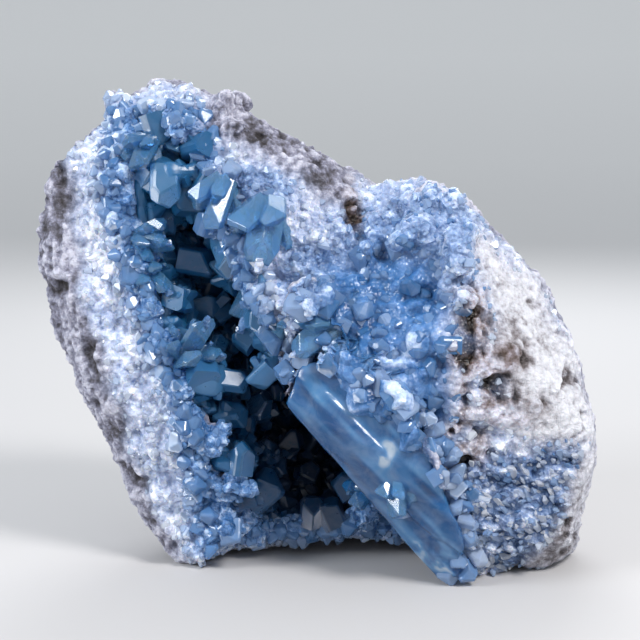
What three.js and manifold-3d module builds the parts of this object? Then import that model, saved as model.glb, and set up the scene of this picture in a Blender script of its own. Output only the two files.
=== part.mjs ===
// A celestite geode, broken open: a pale nodule of massive celestite, its long slanting hollow,
// the thick lobe that stands in front of the hollow, and the crust of blue crystals that lines it.
// Millimetres. +Z is up, +X is to the right, and the broken face looks towards -Y.
// The origin is on the surface that the geode stands on, under the middle of its outline box.

import * as THREE from "three";
import { ConvexGeometry } from "three/addons/geometries/ConvexGeometry.js";
import { mergeVertices } from "three/addons/utils/BufferGeometryUtils.js";
import Module from "manifold-3d";

// Driving dimensions

const GAP = 0.4; // between the crust and what carries it
const CRUST = 4.5; // thickness of the crust between its crystals
const FOOT_CUT = 0.9; // how much the three resting points are worn flat

// The rim of the nodule, seen from the front: [x, z, y of its edge, bulge in front, bulge behind]
const NODULE_RIM = [
  [-89, 132, 4, 10, 30], // upper left corner
  [-79, 137, 6, 12, 38],
  [-71, 142, 8, 14, 44],
  [-65, 150, 10, 16, 46],
  [-58, 156, 12, 18, 46],
  [-49, 160, 14, 20, 46], // top
  [-37, 154, 14, 22, 48],
  [-24, 148, 14, 23, 50],
  [-10, 140, 14, 24, 52],
  [3, 132, 14, 24, 54],
  [17, 122, 14, 22, 56], // notch beside the lobe
  [38, 113, 16, 20, 54],
  [60, 92, 16, 20, 48],
  [76, 62, 16, 20, 44],
  [80, 34, 16, 20, 44],
  [66, 10, 14, 16, 46],
  [40, 6, 10, 8, 56],
  [19, 8, 6, 6, 60],
  [6, 8, 5, 5, 62], // the arch under the hollow
  [-7, 5, 5, 5, 62],
  [-22, 3, 5, 6, 60],
  [-31, 3.5, 4, 10, 58],
  [-35, 1, 0, 14, 54],
  [-39, -0.5, -6, 14, 50], // left foot
  [-46, 2, -4, 14, 48],
  [-52, 6.5, -3, 14, 46],
  [-57, 14, -2, 16, 44],
  [-61, 24, -1, 18, 44],
  [-65, 34, 0, 20, 44],
  [-70, 44, 0, 20, 44],
  [-75, 56, 0, 20, 44],
  [-81, 70, 0, 20, 42],
  [-87, 79, 2, 20, 38],
  [-88, 91, 2, 18, 36],
  [-91, 105, 3, 14, 32],
  [-88, 118, 3, 11, 30],
];
const NODULE_HUB = { x: -4, z: 77, y: 6, front: 28, back: 62 };
// Where it broke off flat: [outward direction, a point of the flat]
const NODULE_BREAKS = [
  [[-0.59, -0.78, -0.21], [-76, -8, 80]], // rind along the left edge
  [[-0.1, -0.99, 0.05], [-58, -13, 70]], // face of the left limb
  [[0.1, -0.95, 0.3], [-20, -12, 140]], // face of the arch
  [[-0.5, -0.2, 0.84], [-70, 0, 144]], // upper left
  [[0.45, 0.25, 0.86], [-15, 25, 137]], // top of the arch
  [[0.1, 0.97, 0.2], [0, 60, 80]], // back
  [[-0.6, 0.75, 0.25], [-60, 32, 90]],
  [[0.5, 0.8, -0.2], [40, 48, 60]],
  [[-0.4, 0.6, -0.7], [-40, 36, 20]],
  [[0.2, 0.7, 0.68], [10, 48, 110]],
];

// The rim of the lobe on the right, with the same five values
const LOBE_RIM = [
  [16, 122, 4, 8, 30],
  [23, 124, 2, 12, 36],
  [38, 124, 0, 16, 40],
  [45, 120, -2, 18, 42],
  [51, 113, -3, 20, 44],
  [59, 106, -4, 22, 46],
  [67, 95, -5, 22, 48],
  [74, 83, -6, 22, 50],
  [79, 71, -7, 24, 50],
  [84, 57, -8, 24, 50],
  [87, 42, -8, 24, 50],
  [89, 23, -8, 22, 48],
  [88, 11, -8, 18, 44],
  [82, 5, -8, 16, 40],
  [73, 1.5, -8, 16, 40],
  [58, 1, -10, 16, 34],
  [47, 0, -18, 12, 26],
  [37, 0, -25, 8, 20], // right foot
  [25, 16, -23, 8, 14],
  [8, 36, -24, 9, 12],
  [-10, 57, -26, 10, 9],
  [-7, 72, -23, 12, 9],
  [-11, 82, -17, 14, 9],
  [-13, 91, -13, 14, 10],
  [-6, 98, -10, 14, 12],
  [5, 104, -6, 12, 16],
  [8, 114, 0, 10, 22],
];
const LOBE_HUB = { x: 42, z: 62, y: -14, front: 27, back: 52 };
const LOBE_BREAKS = [
  [[0.5, -0.72, 0.48], [68, -25, 75]], // bright rind above
  [[0.25, -0.96, -0.12], [62, -29, 30]], // broken ground under the ledge
  [[-0.1, -0.9, 0.42], [24, -24, 108]], // above the bowl
  [[0.93, -0.3, -0.2], [86, -10, 30]], // right edge
  [[0.6, 0.7, 0.3], [74, 16, 60]], // behind
  [[0.5, 0.1, 0.86], [50, 0, 117]], // shoulder
];

// The hollow, level by level: [z, x of its middle, half width, y of its middle, half depth]
const HOLLOW_LEVELS = [
  [12, 1, 31, 6, 46],
  [28, 0, 31, 6, 47],
  [41, -5, 27, 6, 47],
  [60, -14, 23, 6, 47],
  [80, -26, 19, 6, 45],
  [98, -34, 18, 5, 42],
  [120, -42, 17, 4, 36],
  [143, -47, 15, 2, 30],
];
const HOLLOW = { slant: 0.4, boxiness: 5, unevenness: 3, lumpSize: 0.55, seed: 3 };
// How far the hollow is moved where it undercuts the lobe
const UNDERCUT = new THREE.Vector3(6, 20, 1);

// The shallow bowl in the face of the lobe
const BOWL = { centre: new THREE.Vector3(20, -44, 92), half: new THREE.Vector3(18, 20, 13) };

// Corners of the great cleavage block on the lobe: its long lower edge runs down to the right foot
const BLOCK = [
  [-11.3, -28, 57.7],
  [-6.5, -27, 71],
  [8, -33, 77],
  [26, -41, 62],
  [38, -43, 36],
  [44, -38, 16],
  [43, -33, 5],
  [37.5, -26, 0.5],
  [25, -23.5, 16.3],
  [7.7, -26, 36.3],
  [-4, -12, 58],
  [14, -8, 74],
  [44, -8, 40],
  [46, -12, 3],
];

// The great crystals that stand out by themselves: [foot, tip, width, thickness]
const GREAT_CRYSTALS = [
  [[-29.6, -14, 123], [-34.4, -22, 108], 10, 13], // hangs from the arch on the left
  [[-16, -16, 116], [-19.3, -27, 97], 16, 13], // bright block beside it
  [[-16.5, -4, 96], [-25.8, -12, 76.6], 18, 13], // deep under the arch
  [[-11.2, -16, 81.6], [-14.8, -22, 73], 7, 6],
  [[-55.4, -9, 107], [-44.2, -16, 105.3], 10, 8], // left rim
  [[-54.5, -7, 96.4], [-45.2, -14, 89.5], 10, 8],
  [[-42.3, -12, 71], [-33.4, -22, 85], 13, 10],
  [[-37.2, -11, 68], [-29.2, -17, 73], 8, 6],
  [[-54, -5, 135.5], [-57.5, -14, 128], 11, 9],
  [[4.6, -22, 92], [-10.8, -30, 88.5], 19, 16], // left shoulder of the lobe
  [[3.1, -24, 80.3], [-10.3, -28, 71.7], 13, 11],
  [[15.1, -18, 30], [9.4, -22, 21.9], 9, 8], // under the long edge
  [[23.9, -30, 34], [23.2, -35, 21], 11, 9],
  [[20.6, -20, 119], [19.1, -31, 106], 12, 10], // over the bowl
  [[11.1, -14, 117], [9.6, -27, 106], 12, 10],
  [[42.9, -24, 111], [40.2, -33, 98], 14, 11],
];
const LINING = { spacing: 14, width: [11, 16], height: [9, 14], seed: 11 };
const NODULE_DRUSE = { spacing: 9.5, width: [13, 18], height: [11, 15], seed: 23 };
const LOBE_DRUSE = { spacing: 11, width: [13, 19], height: [10, 14], seed: 37 };

// Chance that is the same each time

const fraction = (v) => v - Math.floor(v);
const chance = (i, j, k) => fraction(Math.sin(i * 127.1 + j * 311.7 + k * 74.7) * 43758.5453);
const between = ([low, high], share) => low + (high - low) * share;
const ease = (t) => t * t * (3 - 2 * t);

// Smooth noise from -1 to 1, with lumps about `size` across
function lumps(p, size, seed) {
  const at = [p.x / size, p.y / size, p.z / size];
  const cell = at.map(Math.floor);
  const [u, v, w] = at.map((value, axis) => ease(value - cell[axis]));
  let sum = 0;
  for (const [i, j, k] of [0, 1, 2, 3, 4, 5, 6, 7].map((n) => [n & 1, (n >> 1) & 1, n >> 2])) {
    const weight = (i ? u : 1 - u) * (j ? v : 1 - v) * (k ? w : 1 - w);
    sum += weight * chance(cell[0] + i + seed, cell[1] + j, cell[2] + k);
  }
  return 2 * sum - 1;
}

// Solids and geometries

const MERGE = 1e-3; // corners closer than this are one corner
const FINEST = 0.08; // smaller steps than this are smoothed away

const wasm = await Module();
wasm.setup();

function solidOf(geometry) {
  const bare = new THREE.BufferGeometry().setAttribute("position", geometry.getAttribute("position"));
  if (geometry.index) bare.setIndex(geometry.index);
  const merged = mergeVertices(bare, MERGE);
  return new wasm.Manifold(
    new wasm.Mesh({
      numProp: 3,
      vertProperties: new Float32Array(merged.attributes.position.array),
      triVerts: new Uint32Array(merged.index.array),
    }),
  );
}

function geometryOf(solid) {
  const mesh = solid.getMesh();
  const shared = new THREE.BufferGeometry()
    .setAttribute("position", new THREE.BufferAttribute(mesh.vertProperties, 3))
    .setIndex(new THREE.BufferAttribute(mesh.triVerts, 1));
  const flat = shared.toNonIndexed();
  flat.computeVertexNormals();
  return flat;
}

const joined = (solids) => solids.reduce((whole, next) => whole.add(next));

// The largest of the bodies that a cut leaves, without the chips and slivers
function largest(solid) {
  const bodies = solidOf(geometryOf(solid.simplify(FINEST))).decompose();
  return bodies.reduce((a, b) => (a.volume() > b.volume() ? a : b));
}

// A body blown up from its rim. Its rim is seen from the front, round a hub.

function rimTable(rim, hub) {
  return rim
    .map(([x, z, y, front, back]) => ({
      angle: Math.atan2(z - hub.z, x - hub.x),
      radius: Math.hypot(x - hub.x, z - hub.z) + CORNER_ALLOWANCE,
      y,
      front,
      back,
    }))
    .sort((a, b) => a.angle - b.angle);
}

function onRim(table, angle) {
  const next = table.findIndex((row) => row.angle > angle);
  const b = table[next < 0 ? 0 : next];
  const a = table[next < 0 ? table.length - 1 : (next + table.length - 1) % table.length];
  const turn = 2 * Math.PI;
  const span = (((b.angle - a.angle) % turn) + turn) % turn;
  const way = (((angle - a.angle) % turn) + turn) % turn;
  const mixed = (key) => a[key] + ((b[key] - a[key]) * way) / span;
  return { radius: mixed("radius"), y: mixed("y"), front: mixed("front"), back: mixed("back") };
}

const CORNER_ALLOWANCE = 1; // makes up for what the coarse facets cut off at the rim
const FULLNESS = 2.6; // 2 is an ellipse, more is boxier
const BREAK_SHARPNESS = 0.9; // 1 leaves the broken places dead flat
const LEAN = 0.31; // how far the back sinks for each millimetre behind the hub

// The point of the body in a direction from its hub, grown outwards by `grow`
function blownPoint(direction, table, hub, grow) {
  const flat = Math.hypot(direction.x, direction.z);
  const size = (flat ** FULLNESS + Math.abs(direction.y) ** FULLNESS) ** (-1 / FULLNESS);
  const reach = flat * size;
  const depth = direction.y * size;
  const angle = Math.atan2(direction.z, direction.x);
  const rim = onRim(table, angle);
  const bulge = depth < 0 ? "front" : "back";
  const thickness = THREE.MathUtils.lerp(hub[bulge], rim[bulge], reach);
  const y = THREE.MathUtils.lerp(hub.y, rim.y, reach * reach) + depth * (thickness + grow);
  const radius = reach * (rim.radius + grow);
  const sunk = LEAN * Math.max(0, y - hub.y) * Math.min(1, 2 * Math.abs(depth));
  return new THREE.Vector3(hub.x + radius * Math.cos(angle), y, hub.z + radius * Math.sin(angle) - sunk);
}

// Rough rock: large lumps and small knobs, less of them at the rim so that the outline stays
function roughened(point, direction, seed) {
  const amount = 2.6 * lumps(point, 31, seed) + 1.7 * lumps(point, 13, seed + 5);
  const inside = 0.35 + 0.65 * Math.abs(direction.y);
  return point.addScaledVector(direction, amount * inside);
}

// Presses whatever stands out past a broken flat back onto it
function broken(point, breaks, grow) {
  for (const [outward, onFlat] of breaks) {
    const normal = new THREE.Vector3(...outward).normalize();
    const past = point.clone().sub(new THREE.Vector3(...onFlat)).dot(normal) - grow;
    if (past > 0) point.addScaledVector(normal, -BREAK_SHARPNESS * past);
  }
  return point;
}

const NODULE = { rim: NODULE_RIM, hub: NODULE_HUB, breaks: NODULE_BREAKS, detail: 9, seed: 2 };
const LOBE = { rim: LOBE_RIM, hub: LOBE_HUB, breaks: LOBE_BREAKS, detail: 6, seed: 8 };
for (const body of [NODULE, LOBE]) body.table = rimTable(body.rim, body.hub);

function bodyPoint(body, direction, grow) {
  const blown = blownPoint(direction, body.table, body.hub, grow);
  return roughened(broken(blown, body.breaks, grow), direction, body.seed);
}

function blownBody(body, grow = 0) {
  const geometry = new THREE.IcosahedronGeometry(1, body.detail);
  const position = geometry.attributes.position;
  const direction = new THREE.Vector3();
  for (let i = 0; i < position.count; i++) {
    direction.fromBufferAttribute(position, i).normalize();
    const point = bodyPoint(body, direction, grow);
    position.setXYZ(i, point.x, point.y, point.z);
  }
  return solidOf(geometry);
}

// Whether a point lies in the body, at least `cover` behind its broken face
function isInside(point, body, cover) {
  const across = point.x - body.hub.x;
  const up = point.z - body.hub.z;
  const rim = onRim(body.table, Math.atan2(up, across));
  const reach = Math.hypot(across, up) / rim.radius;
  if (reach >= 1) return false;
  const thickness = THREE.MathUtils.lerp(body.hub.front, rim.front, reach);
  const face = THREE.MathUtils.lerp(body.hub.y, rim.y, reach * reach);
  return point.y > face + cover - thickness * (1 - reach ** FULLNESS) ** (1 / FULLNESS);
}

// The hollow

const HOLLOW_DETAIL = 3;
const hollowEnds = [HOLLOW_LEVELS[0][0], HOLLOW_LEVELS.at(-1)[0]];
const hollowMiddle = (hollowEnds[0] + hollowEnds[1]) / 2;
const hollowHalf = (hollowEnds[1] - hollowEnds[0]) / 2;

function hollowLevel(z) {
  const height = THREE.MathUtils.clamp(z, ...hollowEnds);
  const above = Math.max(1, HOLLOW_LEVELS.findIndex((level) => level[0] >= height));
  const [a, b] = [HOLLOW_LEVELS[above - 1], HOLLOW_LEVELS[above]];
  const share = (height - a[0]) / (b[0] - a[0]);
  const [x, width, y, depth] = [1, 2, 3, 4].map((k) => a[k] + (b[k] - a[k]) * share);
  return { x, width, y, depth };
}

// The point of the hollow's wall in a direction, `inset` inside it
function hollowPoint(direction, inset) {
  const n = HOLLOW.boxiness;
  const size = (Math.hypot(direction.x, direction.y) ** n + Math.abs(direction.z) ** n) ** (-1 / n);
  const bulge = HOLLOW.unevenness * lumps(direction, HOLLOW.lumpSize, HOLLOW.seed) - inset;
  const z = hollowMiddle + direction.z * size * (hollowHalf + bulge);
  const level = hollowLevel(z);
  const back = direction.y * size * (level.depth + bulge);
  const across = direction.x * size * (level.width + bulge);
  return new THREE.Vector3(level.x + across + HOLLOW.slant * back, level.y + back, z);
}

function hollowBody(inset) {
  const geometry = new THREE.IcosahedronGeometry(1, HOLLOW_DETAIL);
  const position = geometry.attributes.position;
  const direction = new THREE.Vector3();
  for (let i = 0; i < position.count; i++) {
    direction.fromBufferAttribute(position, i).normalize();
    const point = hollowPoint(direction, inset);
    position.setXYZ(i, point.x, point.y, point.z);
  }
  return solidOf(geometry);
}

// How far out a point is in the hollow, where 0 is its middle and 1 its wall
function hollowShare(point) {
  const level = hollowLevel(point.z);
  const back = point.y - level.y;
  const across = point.x - level.x - HOLLOW.slant * back;
  const flat = Math.hypot(across / level.width, back / level.depth);
  const up = Math.abs(point.z - hollowMiddle) / hollowHalf;
  return (flat ** HOLLOW.boxiness + up ** HOLLOW.boxiness) ** (1 / HOLLOW.boxiness);
}

// Crystals: four sides that widen from a buried point, under a chisel edge

function crystal(width, height, random, grow = 0, thickness = width * between([0.55, 0.85], random(1))) {
  const w = width / 2 + grow;
  const t = thickness / 2 + grow;
  const shoulder = height * between([0.45, 0.72], random(2));
  const edge = w * between([0.25, 0.75], random(3));
  const skew = w * between([-0.25, 0.25], random(4));
  const top = height + grow;
  const section = [
    [w, 0],
    [0, t],
    [-w, 0],
    [0, -t],
  ];
  const points = [new THREE.Vector3(0, 0, -0.5 * height - 3 * grow)];
  for (const [x, y] of section) {
    points.push(new THREE.Vector3(x, y, shoulder - (y === 0 ? 0.12 * height : 0)));
  }
  points.push(new THREE.Vector3(skew + edge, 0, top), new THREE.Vector3(skew - edge, 0, top));
  return new ConvexGeometry(points);
}

// Puts a crystal on a point, its foot sunk in the rock and its axis near the outward direction
function planted(geometry, point, outward, random, tilt) {
  const side = new THREE.Vector3(random(5) - 0.5, random(6) - 0.5, random(7) - 0.5);
  const axis = outward.clone().addScaledVector(side, tilt).normalize();
  const turn = new THREE.Quaternion().setFromUnitVectors(new THREE.Vector3(0, 0, 1), axis);
  const spin = new THREE.Quaternion().setFromAxisAngle(new THREE.Vector3(0, 0, 1), random(8) * Math.PI);
  return geometry.applyQuaternion(turn.multiply(spin)).translate(point.x, point.y, point.z);
}

// Directions spread evenly over a sphere
function spread(count) {
  const golden = Math.PI * (3 - Math.sqrt(5));
  return Array.from({ length: count }, (_, i) => {
    const z = 1 - (2 * i + 1) / count;
    const r = Math.sqrt(1 - z * z);
    return new THREE.Vector3(r * Math.cos(golden * i), r * Math.sin(golden * i), z);
  });
}

const randomFor = (kind, i) => (n) => chance(i, n, kind.seed);

const SUNK = 0.68; // share of a crystal of the face that is buried in it
const CANDIDATES = 5000; // places looked at for the crystals of one kind

// Goes over a sphere of places and keeps those that are wanted and `spacing` apart
function wellApart(placeAt, wanted, spacing) {
  const kept = [];
  for (const direction of spread(CANDIDATES)) {
    const point = placeAt(direction);
    if (wanted(point, direction) && kept.every((other) => other.point.distanceTo(point) > spacing)) {
      kept.push({ point, direction });
    }
  }
  return kept;
}

function liningCrystals() {
  const foot = (direction) => hollowPoint(direction, CRUST);
  const wanted = (point) => isInside(point, NODULE, 0) && !isInside(point, LOBE, -2);
  return wellApart(foot, wanted, LINING.spacing).map(({ point, direction }, i) => {
    const random = randomFor(LINING, i);
    const size = random(9) ** 1.5;
    const { width, depth } = hollowLevel(point.z);
    const inward = new THREE.Vector3(-direction.x / width, -direction.y / depth, -direction.z / hollowHalf);
    const made = crystal(between(LINING.width, size), between(LINING.height, size), random);
    return solidOf(planted(made, point, inward.normalize(), random, 0.8));
  });
}

// Crystals on the broken face of a body. `wanted` says which feet are kept.
function faceCrystals(body, kind, wanted, grow) {
  const foot = (direction) => bodyPoint(body, direction, 0);
  const onFace = (point, direction) => direction.y < -0.2 && wanted(point);
  return wellApart(foot, onFace, kind.spacing).map(({ point, direction }, i) => {
    const random = randomFor(kind, i);
    const size = random(9) ** 1.5;
    const outward = new THREE.Vector3(direction.x * 0.4, direction.y - 0.5, direction.z * 0.4).normalize();
    const foot = point.addScaledVector(outward, -SUNK * between(kind.height, size));
    const made = crystal(between(kind.width, size), between(kind.height, size), random, grow);
    return solidOf(planted(made, foot, outward, random, 0.9));
  });
}

function greatCrystals(grow) {
  return GREAT_CRYSTALS.map(([foot, tip, width, thickness], i) => {
    const from = new THREE.Vector3(...foot);
    const axis = new THREE.Vector3(...tip).sub(from);
    const made = crystal(width, axis.length(), (n) => chance(i, n, 71), grow, thickness);
    const turn = new THREE.Quaternion().setFromUnitVectors(new THREE.Vector3(0, 0, 1), axis.normalize());
    return solidOf(made.applyQuaternion(turn).translate(...foot));
  });
}

// What stands in front of the hollow: the lobe with its block and bowl, and the crystals of the face

function bowlBody() {
  const geometry = new THREE.IcosahedronGeometry(1, 4);
  const { x, y, z } = BOWL.half;
  geometry.scale(x, y, z).translate(BOWL.centre.x, BOWL.centre.y, BOWL.centre.z);
  return solidOf(geometry);
}

function blockBody(grow) {
  const corners = BLOCK.map(([x, y, z]) => new THREE.Vector3(x, y, z));
  const middle = corners.reduce((sum, corner) => sum.add(corner), new THREE.Vector3());
  middle.divideScalar(corners.length);
  for (const corner of corners) {
    const outward = corner.clone().sub(middle).normalize();
    corner.addScaledVector(outward, 2 * grow);
  }
  return solidOf(new ConvexGeometry(corners));
}

const besideHollow = (p) => p.z > 10 && p.z < 148 && hollowShare(p) > 0.9 && hollowShare(p) < 1.35;
const onShoulder = (p) => p.x < 44 && p.z > 68 && p.y < -12;

function foreground(grow) {
  const undercut = hollowBody(2 + grow).translate(UNDERCUT.toArray());
  const druse = faceCrystals(LOBE, LOBE_DRUSE, onShoulder, grow);
  const carved = joined([blownBody(LOBE, grow), ...druse]).subtract(bowlBody());
  const lobe = carved.add(blockBody(grow)).subtract(undercut);
  const rimDruse = faceCrystals(NODULE, NODULE_DRUSE, besideHollow, grow);
  return joined([lobe, ...rimDruse, ...greatCrystals(grow)]);
}

function wallBody() {
  const shell = blownBody(NODULE).subtract(hollowBody(0));
  return largest(shell.add(foreground(0)).subtract(floorBlock()));
}

// Everything under the level that the feet are worn down to
function floorBlock() {
  const side = 400;
  const block = new THREE.BoxGeometry(side, side, side);
  return solidOf(block.translate(0, 0, FOOT_CUT - side / 2));
}

function liningBody() {
  const backing = hollowBody(GAP).subtract(hollowBody(CRUST));
  const behindFace = blownBody(NODULE, -1);
  const crystals = joined(liningCrystals()).intersect(hollowBody(GAP));
  const whole = backing.intersect(behindFace).add(crystals);
  return largest(whole.subtract(foreground(GAP)).subtract(floorBlock()));
}

// The two pieces, each with its own finish, lowered to stand on the ground

const rock = new THREE.MeshStandardMaterial({ color: 0xb9c4dc, roughness: 0.85, metalness: 0 });
const blue = new THREE.MeshStandardMaterial({ color: 0x5f8fc4, roughness: 0.25, metalness: 0 });

const wall = new THREE.Mesh(geometryOf(wallBody()), rock);
wall.name = "geode_wall";
const lining = new THREE.Mesh(geometryOf(liningBody()), blue);
lining.name = "crystal_lining";

const geode = new THREE.Group();
geode.add(wall, lining);
const box = new THREE.Box3().setFromObject(geode);
const middle = box.getCenter(new THREE.Vector3());
geode.position.set(-middle.x, -middle.y, -box.min.z);

export default geode;
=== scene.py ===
"""A celestite geode: rough rind, sugary crust, clear blue crystals and a deep hollow lined with them.

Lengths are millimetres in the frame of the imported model, and become metres when a mesh is made.
The floor, the lights and the camera are in metres.
+Z is up, +X is to the right, and the broken face with the hollow looks towards -Y.
"""

import math
from collections import namedtuple

import bmesh
import bpy
import numpy as np
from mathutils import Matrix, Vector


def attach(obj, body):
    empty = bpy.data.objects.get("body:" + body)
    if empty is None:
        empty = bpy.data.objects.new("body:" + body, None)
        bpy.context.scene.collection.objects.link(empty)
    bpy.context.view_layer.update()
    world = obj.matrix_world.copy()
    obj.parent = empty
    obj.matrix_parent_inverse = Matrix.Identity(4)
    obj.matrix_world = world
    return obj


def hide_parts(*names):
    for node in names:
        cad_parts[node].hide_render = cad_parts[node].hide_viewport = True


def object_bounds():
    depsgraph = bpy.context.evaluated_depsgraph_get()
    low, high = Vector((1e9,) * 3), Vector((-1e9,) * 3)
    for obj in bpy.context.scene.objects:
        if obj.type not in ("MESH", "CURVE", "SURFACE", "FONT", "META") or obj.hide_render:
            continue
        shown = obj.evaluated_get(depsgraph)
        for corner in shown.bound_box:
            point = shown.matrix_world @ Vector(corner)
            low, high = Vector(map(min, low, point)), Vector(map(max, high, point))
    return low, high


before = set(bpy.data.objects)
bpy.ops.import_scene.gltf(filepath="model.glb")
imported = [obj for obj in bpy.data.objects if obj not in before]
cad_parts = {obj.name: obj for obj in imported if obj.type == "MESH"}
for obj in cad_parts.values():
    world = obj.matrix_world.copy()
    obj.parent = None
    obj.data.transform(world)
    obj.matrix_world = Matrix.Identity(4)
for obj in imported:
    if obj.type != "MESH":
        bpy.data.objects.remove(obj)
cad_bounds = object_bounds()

import openvdb
from mathutils import Vector

MM = 0.001

# Where the source's own coordinates lie in the frame
SOURCE_ORIGIN = np.array([1.15, -12.53, -0.9])

# Fineness of the surfaces that are made on grids
ROCK_VOXEL = 0.8
LINING_VOXEL = 1.0
BLOCK_VOXEL = 0.7
BAND = 6  # voxels on either side of a solid's surface
ROCK_BLUR = 3  # passes that soften the flat faces of the solid
FACING_BLUR = 9  # more passes, to tell the front from the sides
ROCK_TRIANGLES = 190000
BOX_MARGIN = 0.02  # how far every mesh stays inside the box of the solids

# Edges sharper than so many degrees are shaded sharp
ROCK_SHARP = 26
BLOCK_SHARP = 30
CRYSTAL_SHARP = 12

# The hollow, level by level: (z, x of its middle, half width, half depth), and how it slants back
HOLLOW_LEVELS = np.array([
    (12, 1, 31, 46), (28, 0, 31, 47), (41, -5, 27, 47), (60, -14, 23, 47),
    (80, -26, 19, 45), (98, -34, 18, 42), (120, -42, 17, 36), (143, -47, 15, 30),
])
HOLLOW_Y = 5.5
HOLLOW_SLANT = 0.4
# The hollow's crystals are painted darker from its mouth to its back, as painted shade
HOLLOW_MOUTH_Y = -22
HOLLOW_BACK_Y = 24

# Corners of the great cleavage block, and the two ends of its long lower edge, seen from the front
BLOCK = SOURCE_ORIGIN + [
    (-11.3, -28, 57.7), (-6.5, -27, 71), (8, -33, 77), (26, -41, 62),
    (38, -43, 36), (44, -38, 16), (43, -33, 5), (37.5, -26, 0.5),
    (25, -23.5, 16.3), (7.7, -26, 36.3), (-4, -12, 58), (14, -8, 74),
    (44, -8, 40), (46, -12, 3),
]
BLOCK_EDGE = ((-10.2, 56.8), (45, 4))
BLOCK_CLEARNESS = 7  # how far one sees into the block before it turns milky
BLOCK_CLEAR_WIDTH = (9, 21)  # where it turns milky, counted from the long edge
BLOCK_SUNK = 2.2  # how far its surface lies under the rock where it is milky
BLOCK_STEP = 1.1  # height of the steps that its cleavage leaves
STREAK_TURN = np.array([[0.08, 0, 0.69], [0, 0.6, 0], [-0.08, 0, 0.72]])  # streaks follow the edge

# The rock is taken away this far round a clear body, and further on the hollow's side of the block
CARVED_ROUND = 0.6
CARVED_BELOW_BLOCK = 4
CARVED_CORE = 0.35  # how deep a clear crystal's place goes, as a share of its thickness

# Where crust climbs on the block, and which way its crystals look
BLOCK_SEAM = SOURCE_ORIGIN + [(30, -37, 60), (40, -38, 38), (46, -34, 18), (44.5, -31, 6)]
SEAM_OUTWARD = (0.3, -0.9, 0.1)
SEAM_SCATTER = 1.3

# The clear crystals that stand out by themselves: (foot, tip, width, thickness)
CLEAR_CRYSTALS = [
    ((-29.6, -14, 123), (-34.4, -22, 108), 10, 13),
    ((-16, -16, 116), (-19.3, -27, 97), 16, 13),
    ((-16.5, -4, 96), (-25.8, -12, 76.6), 18, 13),
    ((-11.2, -16, 81.6), (-14.8, -22, 73), 7, 6),
    ((-55.4, -9, 107), (-44.2, -16, 105.3), 10, 8),
    ((-54.5, -7, 96.4), (-45.2, -14, 89.5), 10, 8),
    ((-42.3, -12, 71), (-33.4, -22, 85), 13, 10),
    ((-37.2, -11, 68), (-29.2, -17, 73), 8, 6),
    ((3.1, -24, 80.3), (-10.3, -28, 71.7), 13, 11),
    ((15.1, -18, 30), (9.4, -22, 21.9), 9, 8),
    ((-46, 6, 136), (-50, -3, 121), 21, 13),
    ((-54, -5, 135.5), (-57.5, -14, 128), 11, 9),
    ((23.9, -30, 34), (23.2, -35, 21), 11, 9),
]
CRYSTALS_IN_BUNDLE = 6

# Behind this plane the wall is thin, so the relief goes no further into it than this
THIN_WALL_Y = 0
LEAST_RELIEF = 1.0

# What is added to the wall behind the crust, and the margins and the depth over which it fades
BACKING = 2.5
BACKED_MARGIN = (3, 7)
BACKED_DEPTH = 10

# Where the rind ends on the left limb, seen from the front: z and the x of its inner edge
RIND_EDGE_Z = [4, 17, 33, 49, 65, 82, 98, 115, 131, 140]
RIND_EDGE_X = [-43, -50, -60, -62, -65, -74, -75, -76, -78, -82]

# The rind on the arch lies above a line that starts at this (x, z) and falls by so much a millimetre
ARCH_RIND_START = (-60, 152)
ARCH_RIND_FALL = 0.56

# The rind on the lobe's shoulder lies to the right of a line that leans in as it goes down
SHOULDER_TOP_Z = 121
SHOULDER_LEAN = 0.9

# Areas of the front, seen from there: corners as (x, z)
# The bright rind is the rind's own chalky white, painted lighter still as painted light where the lamp
# falls on it strongly.
BRIGHT_RIND = [(50, 110), (70, 92), (84, 66), (90, 42), (76, 43), (64, 47), (60, 60), (52, 73), (54, 86)]
BROKEN_GROUND = [(37, 40), (58, 43), (78, 42), (86, 36), (80, 14), (64, 2), (42, 2), (36, 20)]
GRANULAR_RIND = [(80, 41), (92, 42), (92, 0), (60, 0), (74, 12), (80, 28)]
LOBE_MASS = [
    (-4, 78), (5, 100), (20, 106), (38, 102), (42, 80),
    (40, 60), (44, 30), (40, 6), (22, 20), (-10, 56),
]

# Smaller areas: (x, z, half width, half height)
RUST_PITS = [
    (47, 64, 9, 17), (43, 44, 9, 9), (57, 56, 12, 6), (48, 86, 5, 8),
    (11, 116, 3, 8), (40, 24, 5, 8), (56, 72, 8, 6),
]
# Dark patches of the rind. (66, 44, 14, 3) is a painted shadow under the ledge of the bright rind, and
# (72, 6, 14, 8) is painted shade at the lobe's foot, by the floor.
DARK_PATCHES_AND_PAINTED_SHADE = [
    (-80, 124, 4, 7), (-82, 112, 5, 9), (-72, 97, 5, 9), (-66, 78, 3, 8), (-62, 60, 7, 8),
    (-61, 45, 6, 6), (-48, 16, 7, 10), (-16, 141, 12, 7), (2, 128, 7, 5), (72, 6, 14, 8),
    (66, 44, 14, 3), (60, 76, 13, 7), (56, 62, 8, 6),
]
BLUE_PATCHES = [
    (34, 111, 19, 13), (2, 94, 12, 13), (-36, 30, 6, 18),
    (16, 108, 12, 9), (50, 92, 8, 8), (-19, 124, 13, 7),
]
FROSTY_PATCHES = [
    (4, 74, 5, 6), (20, 43, 4, 5), (38, 10, 9, 6), (-63, 135, 8, 6), (24, 70, 6, 12), (-64, 105, 9, 8),
]

# How space is turned and squeezed for the splinters of the broken ground, and how crystals lean there
SHARD_TURN = np.array([[0.55, 0.1, 0.5], [0.2, 1, -0.2], [-0.4, 0.3, 1.1]])
SPLINTER_DIRECTION = np.array([-0.6, -0.35, 0.6])

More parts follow.
